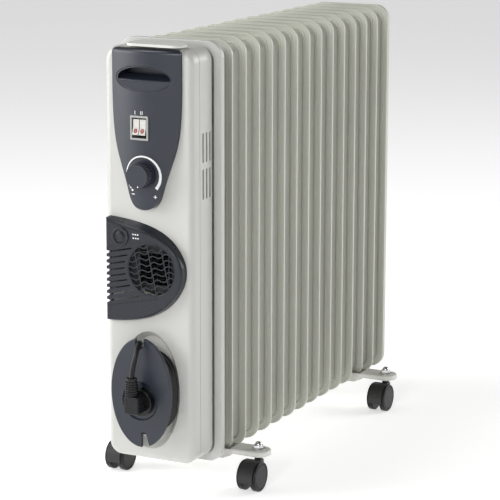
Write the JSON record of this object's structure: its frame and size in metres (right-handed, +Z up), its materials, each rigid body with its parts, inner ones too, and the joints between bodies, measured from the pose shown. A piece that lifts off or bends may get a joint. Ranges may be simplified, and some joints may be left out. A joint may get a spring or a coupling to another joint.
{
  "type": "oil filled radiator heater",
  "caption": "Upright oil-filled radiator: a row of pressed hollow fins behind a control housing with switches, thermostat, fan heater and cord store, on twin-wheel casters.",
  "frame": {"origin": "on the floor under the middle of the heater, its cord left out", "axes": "+Z up, -Y out of the control end, +X to the right when facing the control end"},
  "size_m": [0.244, 0.7103, 0.625],
  "materials": {
    "fin_enamel": "semi-gloss stoved enamel",
    "housing_enamel": "semi-gloss enamel",
    "foot_enamel": "semi-gloss enamel",
    "oil": "thermal oil, stood in for by a clear amber solid",
    "heater_tube": "dulled sheath tube",
    "plated_steel": "zinc plate",
    "panel_plastic": "satin dark slate",
    "trim_plastic": "satin light grey",
    "switch_silver": "silvery",
    "rocker_plastic": "glossy off-white",
    "black_plastic": "matt black",
    "cover_plastic": "satin dark slate",
    "heater_fins": "bare",
    "cord_sheath": "matt black sheath",
    "plug_plastic": "moulded black",
    "pin_metal": "nickelled brass",
    "chrome_nut": "bright",
    "caster_plastic": "glossy black",
    "wheel_plastic": "satin black"
  },
  "bodies": {
    "body": {"fin_01": "fin_enamel", "fin_02": "fin_enamel", "fin_03": "fin_enamel", "fin_04": "fin_enamel", "fin_05": "fin_enamel", "fin_06": "fin_enamel", "fin_07": "fin_enamel", "fin_08": "fin_enamel", "fin_09": "fin_enamel", "fin_10": "fin_enamel", "fin_11": "fin_enamel", "fin_12": "fin_enamel", "fin_13": "fin_enamel", "fin_14": "fin_enamel", "header_collars": "fin_enamel", "mounting_plate": "housing_enamel", "oil_fill": "oil", "heating_elements": "heater_tube", "element_flange": "plated_steel", "filler_plug": "plated_steel", "control_housing": "housing_enamel", "control_panel": "panel_plastic", "grip_pocket": "panel_plastic", "top_handle": "trim_plastic", "housing_screws": "plated_steel", "switch_frame": "switch_silver", "thermostat_body": "black_plastic", "fan_cover": "cover_plastic", "fan_grille": "cover_plastic", "fan_motor": "plated_steel", "fan_frame": "black_plastic", "ptc_heater": "heater_fins", "cord_spool": "trim_plastic", "cord_disc": "panel_plastic", "cord_gland": "black_plastic", "cord_coil": "cord_sheath", "cord_tail": "cord_sheath", "plug_body": "plug_plastic", "plug_pins": "pin_metal", "front_foot": "foot_enamel", "rear_foot": "foot_enamel", "foot_clamps": "plated_steel", "cap_nuts": "chrome_nut"},
    "rocker_1": {"rocker_1": "rocker_plastic"},
    "rocker_2": {"rocker_2": "rocker_plastic"},
    "thermostat_knob": {"thermostat_knob": "panel_plastic"},
    "fan_button": {"fan_button": "cover_plastic"},
    "fan_impeller": {"fan_impeller": "black_plastic"},
    "front_left_swivel_body": {"front_left_hood": "caster_plastic"},
    "front_left_wheel_a": {"front_left_wheel_a": "wheel_plastic"},
    "front_left_wheel_b": {"front_left_wheel_b": "wheel_plastic"},
    "front_right_swivel_body": {"front_right_hood": "caster_plastic"},
    "front_right_wheel_a": {"front_right_wheel_a": "wheel_plastic"},
    "front_right_wheel_b": {"front_right_wheel_b": "wheel_plastic"},
    "rear_left_swivel_body": {"rear_left_hood": "caster_plastic"},
    "rear_left_wheel_a": {"rear_left_wheel_a": "wheel_plastic"},
    "rear_left_wheel_b": {"rear_left_wheel_b": "wheel_plastic"},
    "rear_right_swivel_body": {"rear_right_hood": "caster_plastic"},
    "rear_right_wheel_a": {"rear_right_wheel_a": "wheel_plastic"},
    "rear_right_wheel_b": {"rear_right_wheel_b": "wheel_plastic"}
  },
  "joints": [
    {"name": "rocker_1_press", "type": "hinge", "parent": "body", "child": "rocker_1", "pos_m": [-0.0099, -0.3189, 0.5145], "axis": [1, 0, 0], "range_deg": [0, 20]},
    {"name": "rocker_2_press", "type": "hinge", "parent": "body", "child": "rocker_2", "pos_m": [0.0003, -0.3189, 0.5145], "axis": [1, 0, 0], "range_deg": [0, 20]},
    {"name": "thermostat_turn", "type": "hinge", "parent": "body", "child": "thermostat_knob", "pos_m": [0, -0.3299, 0.4525], "axis": [0, 1, 0], "range_deg": [0, 300]},
    {"name": "fan_button_press", "type": "slide", "parent": "body", "child": "fan_button", "axis": [0, 1, 0], "range_m": [0, 0.003], "stiffness_N_per_m": 400, "springref_m": -0.001},
    {"name": "fan_spin", "type": "hinge", "parent": "body", "child": "fan_impeller", "pos_m": [0.0103, -0.2979, 0.3242], "axis": [0, 1, 0], "continuous": true},
    {"name": "front_left_swivel", "type": "hinge", "parent": "body", "child": "front_left_swivel_body", "pos_m": [-0.105, -0.1917, 0.048], "axis": [0, 0, 1], "continuous": true},
    {"name": "front_left_wheel_a_spin", "type": "hinge", "parent": "front_left_swivel_body", "child": "front_left_wheel_a", "pos_m": [-0.1152, -0.2117, 0.021], "axis": [1, 0, 0], "continuous": true},
    {"name": "front_left_wheel_b_spin", "type": "hinge", "parent": "front_left_swivel_body", "child": "front_left_wheel_b", "pos_m": [-0.0948, -0.2117, 0.021], "axis": [1, 0, 0], "continuous": true},
    {"name": "front_right_swivel", "type": "hinge", "parent": "body", "child": "front_right_swivel_body", "pos_m": [0.105, -0.1917, 0.048], "axis": [0, 0, 1], "continuous": true},
    {"name": "front_right_wheel_a_spin", "type": "hinge", "parent": "front_right_swivel_body", "child": "front_right_wheel_a", "pos_m": [0.0948, -0.2117, 0.021], "axis": [1, 0, 0], "continuous": true},
    {"name": "front_right_wheel_b_spin", "type": "hinge", "parent": "front_right_swivel_body", "child": "front_right_wheel_b", "pos_m": [0.1152, -0.2117, 0.021], "axis": [1, 0, 0], "continuous": true},
    {"name": "rear_left_swivel", "type": "hinge", "parent": "body", "child": "rear_left_swivel_body", "pos_m": [-0.105, 0.2505, 0.048], "axis": [0, 0, 1], "continuous": true},
    {"name": "rear_left_wheel_a_spin", "type": "hinge", "parent": "rear_left_swivel_body", "child": "rear_left_wheel_a", "pos_m": [-0.1152, 0.2305, 0.021], "axis": [1, 0, 0], "continuous": true},
    {"name": "rear_left_wheel_b_spin", "type": "hinge", "parent": "rear_left_swivel_body", "child": "rear_left_wheel_b", "pos_m": [-0.0948, 0.2305, 0.021], "axis": [1, 0, 0], "continuous": true},
    {"name": "rear_right_swivel", "type": "hinge", "parent": "body", "child": "rear_right_swivel_body", "pos_m": [0.105, 0.2505, 0.048], "axis": [0, 0, 1], "continuous": true},
    {"name": "rear_right_wheel_a_spin", "type": "hinge", "parent": "rear_right_swivel_body", "child": "rear_right_wheel_a", "pos_m": [0.0948, 0.2305, 0.021], "axis": [1, 0, 0], "continuous": true},
    {"name": "rear_right_wheel_b_spin", "type": "hinge", "parent": "rear_right_swivel_body", "child": "rear_right_wheel_b", "pos_m": [0.1152, 0.2305, 0.021], "axis": [1, 0, 0], "continuous": true}
  ]
}
